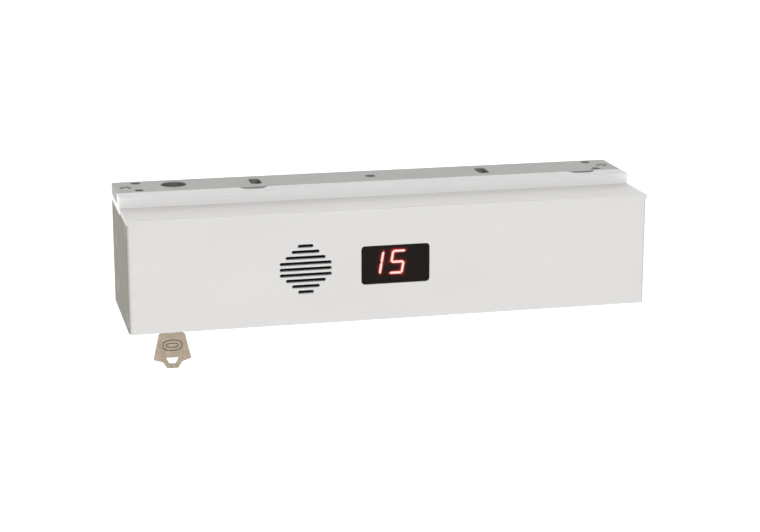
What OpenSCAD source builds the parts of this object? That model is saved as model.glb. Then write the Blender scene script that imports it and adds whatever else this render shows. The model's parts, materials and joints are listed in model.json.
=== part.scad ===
// Delayed egress magnetic door lock: an electromagnet in an aluminium housing that hangs under a
// door header, with a countdown display, a sounder and a key switch in its front compartment.
// Millimetres. The origin is on the face that meets the header, at the middle of the mounting
// plate. +X runs along the lock, -Y is the room side with the display, +Z points up at the header.

/* [Housing] */
// Length of the lock along the door header
length = 298.5; // [292:0.5:340]
// Depth from the front face to the magnet's pole face
depth = 76; // [76:1:84]
// Height from the mounting face down to the underside
height = 70; // [70:1:80]
// Depth of the front compartment, up to the step in the top
bay_depth = 33; // [33:1:36]
// Drop of the front compartment's top below the mounting face
step_drop = 6; // [5:0.5:7]
// Wall thickness of the front cover
cover_wall = 2.5; // [2:0.1:2.5]
// Wall thickness of the magnet housing
housing_wall = 4; // [3.5:0.1:4]
// Thickness of the end caps
cap_t = 3; // [2:0.5:3]

/* [Mounting plate] */
// Depth of the plate from its front edge to the pole face
plate_d = 30; // [30:1:34]
// Thickness of the plate
plate_t = 6; // [5:0.5:6]
// Distance of each adjustment slot from the middle
slot_x = 68; // [60:1:80]
// Width of an adjustment slot
slot_w = 6.5; // [5:0.5:8]
// Length of an adjustment slot, end to end
slot_l = 15; // [12:0.5:18]
// Diameter of the hole in the middle
centre_hole_d = 6; // [4:0.5:8]
// Diameter of the wire entry
wire_hole_d = 14.5; // [10:0.5:15]
// Distance of the wire entry from the middle
wire_hole_x = 115; // [114:0.5:117]
// Diameter of the two header screw holes
header_hole_d = 5.5; // [4:0.1:6]

/* [Front face] */
// Centre of the display window along the front
window_x = 0.8; // [0:0.1:2]
// Height of the display and grille above the underside
feature_h = 31.7; // [30:0.1:34]
// Width of the display window
window_w = 39.4; // [36:0.1:42]
// Height of the display window
window_h = 22.2; // [20:0.1:24]
// Corner radius of the display window
window_r = 2.2; // [1:0.1:4]
// Centre of the sounder grille along the front
grille_x = -50.5; // [-54:0.5:-50]
// Number of slots in the grille
grille_rows = 9; // [5:2:11]
// Distance from slot to slot
grille_pitch = 3.28; // [2.6:0.02:3.4]
// Width of each slot
grille_slot_w = 1.9; // [1:0.1:2]
// Length of the longest slots between the centres of their round ends
grille_long = 27.6; // [20:0.1:28]
// How much longer each slot is than the one outside it
grille_step = 6.85; // [4:0.05:7]

/* [Magnet] */
// Length of the laminated core
core_l = 192; // [160:1:192]
// Depth of the winding slots from the pole face
slot_depth = 29.5; // [24:0.5:30]
// Height of each winding slot
core_slot_h = 10; // [8:0.5:11]
// Height of the middle pole
middle_pole_h = 18; // [14:0.5:19]

/* [Key switch] */
// Place of the key cylinder along the lock
key_x = -124; // [-126:0.5:-122]
// Distance of the key cylinder behind the front face
key_y = 17; // [16:0.5:18]
// Outer diameter of the cylinder's shell
shell_d = 19; // [18:0.5:20]
// Diameter of the turning plug
plug_d = 11.5; // [11:0.1:12]
// Radial running clearance of the plug and of other sliding pieces
run_gap = 0.05; // [0.02:0.01:0.1]
// Width of the key's blade
blade_w = 8; // [7:0.1:8.2]
// Thickness of the key
key_t = 2.2; // [1.8:0.1:2.4]

/* [Display] */
// Height of a digit
digit_h = 14.2; // [12:0.1:15]
// Width of a digit
digit_w = 8.6; // [7:0.1:9]
// Distance from digit to digit
digit_pitch = 12.7; // [12:0.1:13.5]
// Lean of the digits in degrees
digit_lean = 9.6; // [0:0.1:12]
// Width of a segment
segment_w = 1.6; // [1:0.1:2]

/* [Hidden] */
$fn = 64;
round_fn = 32;
sliver = 0.01;
bend_swell = 1.1;
half_l = length / 2;
rear_y = plate_d / 2;
front_y = rear_y - depth;
step_y = front_y + bay_depth;
bottom_z = -height;
ledge_z = -step_drop;
plate_front_y = rear_y - plate_d;
bay_front_y = front_y + cover_wall;
bay_top_z = ledge_z - cover_wall;
bay_floor_z = bottom_z + cover_wall;
inner_x = half_l - cap_t;
feature_z = bottom_z + feature_h;

// Magnet channel inside the housing
channel_front_y = step_y + housing_wall;
channel_top_z = -plate_t - housing_wall;
channel_floor_z = bottom_z + housing_wall - 0.5;
channel_mid_z = (channel_top_z + channel_floor_z) / 2;
core_gap = 0.25;
core_h = channel_top_z - channel_floor_z - 2 * core_gap;
core_back_y = channel_front_y + core_gap;
former_t = 0.6;
coil_w = core_slot_h - former_t - 0.4;
coil_depth = slot_depth - 5.5;
coil_back_y = rear_y - slot_depth + 0.5;
coil_end_x = core_l / 2 + former_t + coil_w;
potting_end_x = coil_end_x + 2;
end_block_l = 18;
end_block_x = inner_x - end_block_l;
chamber_plate_t = 2.5;
chamber_screw_l = 8;
chamber_screw_x = end_block_x - 4;
chamber_screw_zs = [channel_top_z - 6, channel_floor_z + 6];
sensor_size = [6, 6, 22];
sensor_bore_d = 3;
sensor_bore_l = 4;
sensor_x = (potting_end_x + chamber_screw_x) / 2 - 1;

// Fixings of the mounting plate, the same distance from each end
bolt_x = half_l - 13.25;
bolt_y = -9.5;
bolt_d = 5;
bolt_head_d = 8.5;
bolt_head_h = 5;
bolt_bore_d = 5.5;
header_hole_y = 10;
dowel_x = half_l - 6.45;
dowel_y = -1;
dowel_d = 6;
dowel_deep = 12;
wire_hole_y = 2.3;
recess_d = 16.5;
recess_t = 1;
recess_y = -13.3;
recess_xs = [-71.7, 124.8];
end_screw_d = 4;
end_screw_head_d = 7.5;
end_screw_l = 12;
corner_block = 8;
block_screw_places = [[-4, -30], [-4, -56]];
corner_y = bay_front_y + corner_block / 2;
corner_zs = [bay_top_z - corner_block / 2, bay_floor_z + corner_block / 2];
cap_screw_places = concat(block_screw_places, [for (z = corner_zs) [corner_y, z]]);

// Cover rail and its screws
rail_l = 150;
rail_x = 20;
rail_t = 2;
rail_h = 9;
rail_d = 10;
tongue_t = 1.2;
tongue_l = 1.5;
tongue_fit = 0.1;
tongue_z = ledge_z - cover_wall;
cover_screw_xs = [rail_x - 60, rail_x, rail_x + 60];
cover_screw_y = step_y - rail_d + 4;
rail_screw_xs = [rail_x - 40, rail_x + 40];
small_screw_d = 3;
pan_d = 5.5;
pan_h = 2;
wall_bite = 2.8;
rail_screw_z = bay_floor_z + rail_t + 3.5;

// Speaker behind the grille
screen_r = 19;
screen_t = 0.4;
speaker_r = 20;
speaker_rim_t = 1.5;
speaker_rim_w = 2.5;
speaker_neck_r = 10;
basket_d = 7;
magnet_r = 9;
magnet_d = 7;
clamp_size = 46;
clamp_t = 1.2;
clamp_hole_r = 17.2;
stud_l = 7;
speaker_stud_reach = 20;
screen_back_y = bay_front_y + screen_t;
rim_back_y = screen_back_y + speaker_rim_t;
basket_back_y = rim_back_y + basket_d;

// Lens and display
lens_t = 2;
lens_rim = 3;
lens_sink = 0.6;
lens_gap = 0.15;
lens_back_y = bay_front_y + lens_t;
frame_t = 1.5;
frame_w = 54;
frame_h = 30;
frame_stud_x = 24.5;
frame_stud_z = 12;
// Where the studs stand on the inside of the cover's front
stud_places = concat(
    [for (x = [-1, 1], z = [-1, 1])
        [grille_x + x * speaker_stud_reach, feature_z + z * speaker_stud_reach]],
    [for (x = [-1, 1], z = [-1, 1])
        [window_x + x * frame_stud_x, feature_z + z * frame_stud_z]]
);
digits_x = -3.3;
module_w = 25.2;
module_h = 19;
module_front_y = lens_back_y + 0.6;
segment_t = 0.4;
bar_gap = 0.3;

// Circuit board
board_front_y = bay_front_y + 11;
board_t = 1.6;
board_back_y = board_front_y + board_t;
board_x0 = -22;
board_x1 = 122;
board_z0 = bottom_z + 11;
board_z1 = bottom_z + 56;
board_hole_inset = 4;
board_hole_places = [
    for (x = [board_x0 + board_hole_inset, board_x1 - board_hole_inset])
        for (z = [board_z0 + board_hole_inset, board_z1 - board_hole_inset]) [x, z]
];
standoff_d = 5.5;
standoff_stud_l = 3;
module_back_y = board_front_y;
terminal_ways = 8;
terminal_pitch = 5.08;
terminal_x0 = 68;
terminal_z = board_z0 + 7;
terminal_size = [terminal_ways * terminal_pitch, 9.5, 10];
dip_ways = 4;
dip_pitch = 2.54;
dip_x = 60;
dip_z = feature_z + 4;
dip_travel = 1.6;
dip_slider = 1.2;
dip_body = [dip_ways * dip_pitch + 1.4, 4, 9];
relay_size = [19, 15, 15.5];
relay_xs = [42, 66];
relay_z = feature_z - 8;
capacitor_places = [[16, -50, 5, 14], [16, -28, 6.3, 15], [30, -24, 4, 11]];
sink_size = [22, 14, 16];
sink_x = 98;
sink_z = -28;
sink_fins = 5;
chip_size = [10, 1.6, 10];
chip_x = 40;
chip_legs = 8;

// Key cylinder, from its face upward
key_axis = [key_x, front_y + key_y];
flange_d = 22;
flange_t = 1.5;
face_z = bottom_z - flange_t;
shell_top_z = bottom_z + 24;
nut_d = 27;
nut_t = 4;
plug_top_z = shell_top_z + 1.4;
keyway_top_z = shell_top_z - 2;
wafer_count = 5;
wafer_t = 1;
wafer_pitch = 3;
wafer_first_z = bottom_z + 5;
wafer_w = 6;
wafer_gap = 0.1;
cam_t = 2;
cam_r = 8.76;
cam_rise = 1.55;
cam_nose = 96;
cam_hub_r = 5;
cam_z = plug_top_z;
cam_turn = 90;
cam_screw_head_t = 1.8;

// Key: the bow hangs below the plug's face
neck_half_w = 4.4;
neck_h = 4;
bow_shoulder = [7.4, 6];
bow_wide = [10.6, 20.1];
bow_notch = [5.5, 21.7];
bow_foot = [3.2, 25.4];
blade_tip_z = keyway_top_z - 1;
bow_hole_top = [3.7, 19.2];
bow_hole_bottom = [1.8, 23];

// Switch worked by the cam
switch_x = key_x + 12;
switch_size = [10.2, 20, 6.4];
switch_y0 = key_axis[1] - 10;
switch_z0 = plug_top_z - 2.2;
lever_pivot = [switch_x - 0.7, key_axis[1] + 8.5];
lever_eye_d = 1.2;
lever_rest = 12;
lever_l = 18;
lever_t = 0.4;
lever_w = 3.4;
lever_z = cam_z - 0.7;
plunger_y = lever_pivot[1] - 4;
plunger_d = 1.6;
plunger_out = 0.9;
plunger_l = 3;
bracket_t = 1.5;
bracket_top_z = switch_z0;
bracket_x0 = switch_x - 1;
bracket_x1 = switch_x + 17;
bracket_tab_h = 14;
bracket_screw_x = (bracket_x0 + bracket_x1) / 2;
bracket_screw_z = bracket_top_z - bracket_tab_h + 5;
switch_screw_d = 2.3;
tab_size = [4, 2.8, 0.6];
tab_ys = [3, 10, 17];
tab_z = 2.9;
switch_screw_ys = [switch_y0 + 3, switch_y0 + 15];
switch_screw_x = switch_x + 7.5;

// Wires inside the lock
wire_d = 1.6;
wire_step = 3;
wall_wire_y = step_y - wire_d;
coil_wire_z = -34;
wire_pass_r = 5;
switch_wire_z = bay_top_z - 15;

DIP_NODES = [for (i = [1:dip_ways]) str("dip_slider_", i)];

// Shapes that several sub-parts share

// A box given by its lowest and highest corners
module span(low, high) {
    translate(low)
        cube([for (i = [0:2]) high[i] - low[i]]);
}

// A rod along +Y that starts at y
module rod_y(x, y, z, r, l) {
    translate([x, y, z])
        rotate([-90, 0, 0])
            cylinder(r = r, h = l);
}

// A rod along +Z that starts at z
module rod_z(x, y, z, r, l) {
    translate([x, y, z])
        cylinder(r = r, h = l);
}

// A profile drawn in Y and Z, drawn out along X between two places
module along_x(x0, x1) {
    translate([x0, 0, 0])
        rotate([90, 0, 90])
            linear_extrude(x1 - x0)
                children();
}

// A rectangle with round corners, centred
module round_rect(w, h, r) {
    square([w - 2 * r, h], center = true);
    square([w, h - 2 * r], center = true);
    for (x = [-1, 1], z = [-1, 1])
        translate([x * (w / 2 - r), z * (h / 2 - r)])
            circle(r = r, $fn = round_fn);
}

// A plate that faces the room, centred on x and z, whose front is at y
module face_plate(x, y, z, t) {
    translate([x, y + t, z])
        rotate([90, 0, 0])
            linear_extrude(t)
                children();
}

// A flat head screw along +Z: the face of its head is at 0 and its shank points up
module flat_screw(d, head_d, l) {
    head_h = (head_d - d) / 2;
    difference() {
        union() {
            cylinder(d1 = head_d, d2 = d, h = head_h);
            cylinder(d = d, h = l);
        }
        translate([0, 0, -sliver])
            cylinder(d = d * 0.62, h = head_h * 0.8, $fn = 6);
    }
}

// The hole for a flat head screw
module flat_hole(d, head_d, l) {
    translate([0, 0, -sliver])
        cylinder(d1 = head_d + 2 * sliver, d2 = d, h = (head_d - d) / 2 + sliver);
    translate([0, 0, -sliver])
        cylinder(d = d, h = l + 2 * sliver);
}

// A pan head screw along +Z with its head below 0 and its shank above
module pan_screw(d, head_d, head_h, l) {
    difference() {
        union() {
            translate([0, 0, -head_h])
                cylinder(d = head_d, h = head_h);
            cylinder(d = d, h = l);
        }
        for (turn = [0, 90])
            rotate(turn)
                translate([-head_d * 0.32, -0.3, -head_h - sliver])
                    cube([head_d * 0.64, 0.6, head_h * 0.6]);
    }
}

// Both ends of the lock: draws its children at +X and their mirror image at -X
module both_ends() {
    children();
    mirror([1, 0, 0])
        children();
}

// A round wire through a list of points
module wire(points, d) {
    for (i = [0:len(points) - 2]) {
        step = points[i + 1] - points[i];
        span_l = norm(step);
        translate(points[i])
            rotate([0, acos(step[2] / span_l), atan2(step[1], step[0])])
                cylinder(d = d, h = span_l, $fn = round_fn);
    }
    for (i = [1:1:len(points) - 2])
        translate(points[i])
            sphere(d = d * bend_swell, $fn = round_fn);
}

// Housing

module mounting_plate() {
    color("#aaaca6")
        difference() {
            span([-half_l, plate_front_y, -plate_t], [half_l, rear_y, 0]);
            for (side = [-1, 1])
                translate([side * slot_x, 0, -plate_t - sliver])
                    linear_extrude(plate_t + 2 * sliver)
                        slot_outline();
            rod_z(0, 0, -plate_t - sliver, centre_hole_d / 2, plate_t + 2 * sliver);
            rod_z(-wire_hole_x, wire_hole_y, -plate_t - sliver, wire_hole_d / 2, plate_t + 2 * sliver);
            both_ends() {
                rod_z(bolt_x, header_hole_y, -plate_t - sliver, header_hole_d / 2,
                    plate_t + 2 * sliver);
                rod_z(bolt_x, bolt_y, -plate_t - sliver, bolt_d / 2, plate_t + 2 * sliver);
                rod_z(dowel_x, dowel_y, -plate_t - sliver, dowel_d / 2, plate_t + 2 * sliver);
                translate([dowel_x, dowel_y, -0.6])
                    cylinder(d1 = dowel_d, d2 = dowel_d + 1.2, h = 0.6 + sliver);
            }
        }
}

// Plan of one adjustment slot, long from front to back
module slot_outline() {
    square([slot_w, slot_l - slot_w], center = true);
    for (end = [-1, 1])
        translate([0, end * (slot_l - slot_w) / 2])
            circle(d = slot_w, $fn = round_fn);
}

// Cross section of the magnet housing: a channel that opens at the pole face, with a raised lip
module housing_profile() {
    difference() {
        translate([step_y, bottom_z])
            square([rear_y - step_y, height]);
        translate([plate_front_y, -plate_t])
            square([plate_d + sliver, plate_t + sliver]);
        translate([channel_front_y, channel_floor_z])
            square([rear_y - channel_front_y + sliver, channel_top_z - channel_floor_z]);
        translate([step_y - sliver, tongue_z])
            square([tongue_l + sliver, tongue_t]);
    }
}
// The room that an end cap takes below the housing's top
module cap_room() {
    span([inner_x, step_y - sliver, bottom_z - sliver],
        [half_l + sliver, rear_y + sliver, channel_top_z]);
}

module magnet_housing() {
    color("#e4e3e1")
        difference() {
            along_x(-half_l, half_l)
                housing_profile();
            both_ends() {
                cap_room();
                rod_z(bolt_x, bolt_y, channel_top_z - sliver, bolt_bore_d / 2,
                    housing_wall + 2 * sliver);
                rod_z(bolt_x, bolt_y, bottom_z - sliver, bolt_head_d / 2 + 0.5, housing_wall);
                rod_z(bolt_x, header_hole_y, channel_top_z - sliver, header_hole_d / 2,
                    housing_wall + 2 * sliver);
                rod_z(dowel_x, dowel_y, channel_top_z - sliver, dowel_d / 2,
                    housing_wall + 2 * sliver);
                rod_y(wire_hole_x, step_y - sliver, coil_wire_z, wire_pass_r, housing_wall + 2 * sliver);
            }
            rod_z(-wire_hole_x, wire_hole_y, channel_top_z - sliver, wire_hole_d / 2,
                housing_wall + 2 * sliver);
            for (x = recess_xs)
                rod_z(x, recess_y, -recess_t, recess_d / 2, recess_t + sliver);
            for (place = board_hole_places)
                rod_y(place[0], step_y - sliver, place[1], small_screw_d / 2,
                    standoff_stud_l + sliver);
            for (x = rail_screw_xs)
                rod_y(x, step_y - sliver, rail_screw_z, small_screw_d / 2,
                    small_screw_d + sliver);
            rod_y(bracket_screw_x, step_y - sliver, bracket_screw_z, small_screw_d / 2,
                small_screw_d + sliver);
        }
}

// Cross section of the front cover: top, front and underside, with a tongue under the top edge
module cover_profile() {
    difference() {
        translate([front_y, bottom_z])
            square([bay_depth, height - step_drop]);
        translate([bay_front_y, bay_floor_z])
            square([bay_depth, bay_top_z - bay_floor_z]);
    }
    translate([step_y - sliver, tongue_z])
        square([tongue_l - tongue_fit, tongue_t]);
}

module front_cover() {
    color("#e1dfdd")
        difference() {
            along_x(-half_l, half_l)
                cover_profile();
            both_ends()
                span([inner_x, front_y - sliver, bottom_z - sliver],
                    [half_l + sliver, step_y + tongue_l, bay_top_z]);
            grille_slots(front_y - sliver, cover_wall + 2 * sliver);
            face_plate(window_x, front_y - sliver, feature_z, cover_wall + 2 * sliver)
                round_rect(window_w, window_h, window_r);
            rod_z(key_axis[0], key_axis[1], bottom_z - sliver, shell_d / 2,
                cover_wall + 2 * sliver);
            for (x = cover_screw_xs)
                translate([x, cover_screw_y, bottom_z])
                    flat_hole(small_screw_d, 2 * small_screw_d, cover_wall);
        }
}

// The grille's slots, shorter towards the top and bottom so that they fill a diamond
module grille_slots(y, t) {
    last = (grille_rows - 1) / 2;
    short = grille_long - grille_step * (last - 1);
    for (row = [-last:last]) {
        slot = min(grille_long, short + grille_step * (last - abs(row)));
        z = feature_z + row * grille_pitch;
        span([grille_x - slot / 2, y, z - grille_slot_w / 2],
            [grille_x + slot / 2, y + t, z + grille_slot_w / 2]);
        for (end = [-1, 1])
            rod_y(grille_x + end * slot / 2, y, z, grille_slot_w / 2, t);
    }
}

// An end cap: a plate under the housing's top, with its front corner rounded
module end_cap() {
    corner_r = cap_t;
    difference() {
        union() {
            span([inner_x, front_y + corner_r, bottom_z], [half_l, step_y, bay_top_z]);
            span([inner_x, step_y - sliver, bottom_z], [half_l, rear_y, channel_top_z]);
            intersection() {
                rod_z(inner_x, front_y + corner_r, bottom_z, corner_r, bay_top_z - bottom_z);
                span([inner_x, front_y, bottom_z], [half_l, front_y + corner_r, bay_top_z]);
            }
        }
        for (place = cap_screw_places)
            translate([half_l, place[0], place[1]])
                rotate([0, -90, 0])
                    flat_hole(end_screw_d, end_screw_head_d, cap_t);
    }
}

module left_end_cap() {
    color("#918f82")
        mirror([1, 0, 0])
            end_cap();
}

module right_end_cap() {
    color("#918f82")
        end_cap();
}

module end_cap_screws() {
    color("silver")
        both_ends()
            for (place = cap_screw_places)
                translate([half_l, place[0], place[1]])
                    rotate([0, -90, 0])
                        flat_screw(end_screw_d, end_screw_head_d,
                            place[0] == corner_y ? cap_t + corner_block - 2 : end_screw_l);
}

// A block that fills the end of the magnet channel and takes the bolt, the dowel and the cap screws
module end_block() {
    difference() {
        span([end_block_x, channel_front_y, channel_floor_z], [inner_x, rear_y, channel_top_z]);
        rod_z(bolt_x, bolt_y, channel_floor_z - sliver, bolt_bore_d / 2, height);
        rod_z(bolt_x, bolt_y, channel_floor_z - sliver, bolt_head_d / 2 + 0.5, bolt_head_h + 1);
        rod_z(dowel_x, dowel_y, channel_top_z - dowel_deep, dowel_d / 2, dowel_deep + sliver);
        rod_z(bolt_x, header_hole_y, channel_top_z - dowel_deep, header_hole_d / 2,
            dowel_deep + sliver);
        for (place = block_screw_places)
            translate([inner_x + sliver, place[0], place[1]])
                rotate([0, -90, 0])
                    cylinder(d = end_screw_d, h = end_screw_l - cap_t + sliver);
    }
}

module left_end_block() {
    color("#b9bbbc")
        mirror([1, 0, 0])
            end_block();
}

module right_end_block() {
    color("#b9bbbc")
        end_block();
}

// Socket head bolts that come up from the underside and screw into the mounting plate
module body_bolts() {
    head_z = channel_floor_z + 1;
    tip_z = -1.5;
    color("dimgray")
        both_ends()
            translate([bolt_x, bolt_y, head_z])
                difference() {
                    union() {
                        cylinder(d = bolt_head_d, h = bolt_head_h);
                        cylinder(d = bolt_d, h = tip_z - head_z);
                    }
                    translate([0, 0, -sliver])
                        cylinder(d = bolt_d * 0.9, h = bolt_head_h * 0.6, $fn = 6);
                }
}

module locating_dowels() {
    tip = 1;
    bottom = channel_top_z - dowel_deep;
    color("gainsboro")
        both_ends() {
            rod_z(dowel_x, dowel_y, bottom, dowel_d / 2, -tip - 0.8 - bottom);
            translate([dowel_x, dowel_y, -tip - 0.8])
                cylinder(d1 = dowel_d, d2 = dowel_d - 1.6, h = tip);
        }
}

// Magnet

// Cross section of the core: an E whose three poles face the armature
module core_profile() {
    difference() {
        translate([core_back_y, channel_floor_z + core_gap])
            square([rear_y - core_back_y, core_h]);
        for (side = [-1, 1])
            translate([rear_y - slot_depth,
                channel_mid_z + side * (middle_pole_h + core_slot_h) / 2 - core_slot_h / 2])
                square([slot_depth + sliver, core_slot_h]);
    }
}

module core_laminations() {
    color("#6f7274")
        along_x(-core_l / 2, core_l / 2)
            core_profile();
}

// A loop round the middle pole, between an inner and an outer distance from it
module pole_loop(inner, outer, y, d) {
    translate([0, y + d, channel_mid_z])
        rotate([90, 0, 0])
            linear_extrude(d)
                difference() {
                    round_rect(core_l + 2 * outer, middle_pole_h + 2 * outer, outer);
                    square([core_l + 2 * inner, middle_pole_h + 2 * inner], center = true);
                }
}

module coil_former() {
    color("#d8c9a0")
        pole_loop(0, former_t, coil_back_y, coil_depth);
}

module coil_winding() {
    color("#b06a35")
        pole_loop(former_t, former_t + coil_w, coil_back_y, coil_depth);
}

// Resin that seals the coil into the core's slots and round its ends
module core_potting() {
    color("#2c2c2e")
        difference() {
            union() {
                for (side = [-1, 1]) {
                    mid = channel_mid_z + side * (middle_pole_h + core_slot_h) / 2;
                    span([-core_l / 2, rear_y - slot_depth, mid - core_slot_h / 2],
                        [core_l / 2, rear_y, mid + core_slot_h / 2]);
                    span([min(side * core_l / 2, side * potting_end_x), core_back_y,
                            channel_floor_z + core_gap],
                        [max(side * core_l / 2, side * potting_end_x), rear_y,
                            channel_top_z - core_gap]);
                }
            }
            pole_loop(0, former_t + coil_w, coil_back_y, coil_depth);
        }
}

// Plates that close the two wiring chambers beside the core at the pole face
module chamber_plates() {
    color("#b9bbbc")
        difference() {
            both_ends()
                span([potting_end_x, rear_y - chamber_plate_t, channel_floor_z],
                    [end_block_x, rear_y, channel_top_z]);
            both_ends()
                for (z = chamber_screw_zs)
                    translate([chamber_screw_x, rear_y, z])
                        rotate([90, 0, 0])
                            flat_hole(small_screw_d, 2 * small_screw_d, chamber_plate_t);
        }
}

module chamber_screws() {
    color("silver")
        both_ends()
            for (z = chamber_screw_zs)
                translate([chamber_screw_x, rear_y, z])
                    rotate([90, 0, 0])
                        flat_screw(small_screw_d, 2 * small_screw_d, chamber_screw_l);
}

// Reed switch that senses the door, held behind the right chamber plate
module door_sensor() {
    color("ivory")
        translate([sensor_x, rear_y - chamber_plate_t - sensor_size[1], channel_mid_z])
            difference() {
                translate([-sensor_size[0] / 2, 0, -sensor_size[2] / 2])
                    cube(sensor_size);
                rod_y(0, -sliver, 0, sensor_bore_d / 2, sensor_bore_l);
            }
}

// Cover fixings

// Angle on the housing's front wall that the cover's underside is screwed to
module cover_rail() {
    color("#c4c6c8")
        difference() {
            along_x(rail_x - rail_l / 2, rail_x + rail_l / 2) {
                translate([step_y - rail_d, bay_floor_z])
                    square([rail_d, rail_t]);
                translate([step_y - rail_t, bay_floor_z])
                    square([rail_t, rail_h]);
            }
            for (x = cover_screw_xs)
                rod_z(x, cover_screw_y, bay_floor_z - sliver, small_screw_d / 2,
                    rail_t + 2 * sliver);
            for (x = rail_screw_xs)
                rod_y(x, step_y - rail_t - sliver, rail_screw_z,
                    small_screw_d / 2, rail_t + 2 * sliver);
        }
}

module rail_screws() {
    color("silver")
        for (x = rail_screw_xs)
            translate([x, step_y - rail_t, rail_screw_z])
                rotate([-90, 0, 0])
                    pan_screw(small_screw_d, pan_d, pan_h, rail_t + wall_bite);
}

module cover_screws() {
    color("silver")
        for (x = cover_screw_xs)
            translate([x, cover_screw_y, bottom_z])
                flat_screw(small_screw_d, 2 * small_screw_d, cover_wall + rail_t + 1.5);
}

// Blocks in the cover's corners that the end caps are screwed to
module corner_blocks() {
    color("#c4c6c8")
        difference() {
            both_ends()
                for (z = corner_zs)
                    span([inner_x - corner_block, bay_front_y, z - corner_block / 2],
                        [inner_x, bay_front_y + corner_block, z + corner_block / 2]);
            both_ends()
                for (z = corner_zs)
                    translate([inner_x + sliver, corner_y, z])
                        rotate([0, -90, 0])
                            cylinder(d = end_screw_d, h = corner_block - 2 + sliver);
        }
}

// Studs on the inside of the cover's front
module cover_studs() {
    color("silver")
        for (place = stud_places)
            rod_y(place[0], bay_front_y, place[1], small_screw_d / 2, stud_l);
}

module stud_nuts() {
    color("silver")
        for (i = [0:len(stud_places) - 1])
            translate([stud_places[i][0], i < 4 ? rim_back_y + clamp_t : lens_back_y + frame_t,
                stud_places[i][1]])
                rotate([-90, 0, 0])
                    difference() {
                        cylinder(d = 2 * small_screw_d, h = 2, $fn = 6);
                        translate([0, 0, -sliver])
                            cylinder(d = small_screw_d, h = 2 + 2 * sliver);
                    }
}

// Sounder

module dust_screen() {
    color("#1e1e20")
        rod_y(grille_x, bay_front_y, feature_z, screen_r, screen_t);
}

// Pressed steel basket, drawn as half its section and turned about its own axis
module speaker_basket() {
    wall = 0.8;
    color("#5a5c60")
        translate([grille_x, screen_back_y, feature_z])
            rotate([-90, 0, 0])
                rotate_extrude()
                    polygon([
                        [speaker_r - speaker_rim_w, 0],
                        [speaker_r, 0],
                        [speaker_r, speaker_rim_t],
                        [speaker_r - speaker_rim_w, speaker_rim_t],
                        [speaker_neck_r, speaker_rim_t + basket_d],
                        [0, speaker_rim_t + basket_d],
                        [0, speaker_rim_t + basket_d - wall],
                        [speaker_neck_r - wall, speaker_rim_t + basket_d - wall],
                        [speaker_r - speaker_rim_w - wall, speaker_rim_t - wall / 2]
                    ]);
}

// Paper cone with a rolled edge and a dome in the middle
module speaker_cone() {
    outer = speaker_r - speaker_rim_w - 1.2;
    paper = 0.4;
    dome_r = 5;
    color("#303134")
        translate([grille_x, screen_back_y + 0.8, feature_z])
            rotate([-90, 0, 0])
                rotate_extrude()
                    polygon([
                        [outer, 0],
                        [outer, paper],
                        [dome_r, 4.4],
                        [dome_r * 0.6, 3.2],
                        [0, 2.6],
                        [0, 2.6 - paper],
                        [dome_r * 0.6, 3.2 - paper],
                        [dome_r, 4.4 - paper],
                        [outer - 2, 0]
                    ]);
}

module speaker_magnet() {
    color("#3c3d40") {
        rod_y(grille_x, basket_back_y, feature_z, magnet_r, magnet_d);
        rod_y(grille_x, basket_back_y + magnet_d, feature_z, magnet_r - 1.5, 1);
    }
}

module speaker_clamp() {
    color("#c4c6c8")
        difference() {
            face_plate(grille_x, rim_back_y, feature_z, clamp_t)
                round_rect(clamp_size, clamp_size, 4);
            rod_y(grille_x, rim_back_y - sliver, feature_z, clamp_hole_r + 0.6,
                clamp_t + 2 * sliver);
            for (i = [0:3])
                rod_y(stud_places[i][0], rim_back_y - sliver, stud_places[i][1],
                    small_screw_d / 2, clamp_t + 2 * sliver);
        }
}

// Display

// Smoked lens with a raised middle that fills the window
module display_lens() {
    color("#1a0f0d") {
        face_plate(window_x, front_y + lens_sink, feature_z, cover_wall - lens_sink)
            round_rect(window_w - 2 * lens_gap, window_h - 2 * lens_gap, window_r - lens_gap);
        face_plate(window_x, bay_front_y, feature_z, lens_t)
            round_rect(window_w + 2 * lens_rim, window_h + 2 * lens_rim, window_r);
    }
}

module lens_frame() {
    color("#232326")
        difference() {
            face_plate(window_x, lens_back_y, feature_z, frame_t)
                round_rect(frame_w, frame_h, 3);
            face_plate(window_x, lens_back_y - sliver, feature_z, frame_t + 2 * sliver)
                round_rect(window_w - 1, window_h - 1, window_r);
            for (x = [-1, 1], z = [-1, 1])
                rod_y(window_x + x * frame_stud_x, lens_back_y - sliver,
                    feature_z + z * frame_stud_z, small_screw_d / 2, frame_t + 2 * sliver);
        }
}

module display_module() {
    color("#141416")
        difference() {
            span([digits_x - module_w / 2, module_front_y, feature_z - module_h / 2],
                [digits_x + module_w / 2, module_back_y, feature_z + module_h / 2]);
            span([digits_x - module_w / 2 + 1.2, module_back_y - 4, feature_z - module_h / 2 + 1.2],
                [digits_x + module_w / 2 - 1.2, module_back_y + sliver,
                    feature_z + module_h / 2 - 1.2]);
        }
}

// One bar of a digit from its middle line, pointed at both ends
module bar(from, to) {
    step = to - from;
    l = norm(step);
    half = segment_w / 2;
    translate(from)
        rotate(atan2(step[1], step[0]))
            polygon([[bar_gap, 0], [half + bar_gap, half], [l - half - bar_gap, half],
                [l - bar_gap, 0], [l - half - bar_gap, -half], [half + bar_gap, -half]]);
}

// A point on a leaning digit, from its middle
function leaning(x, z) = [x + z * tan(digit_lean), z];

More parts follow.
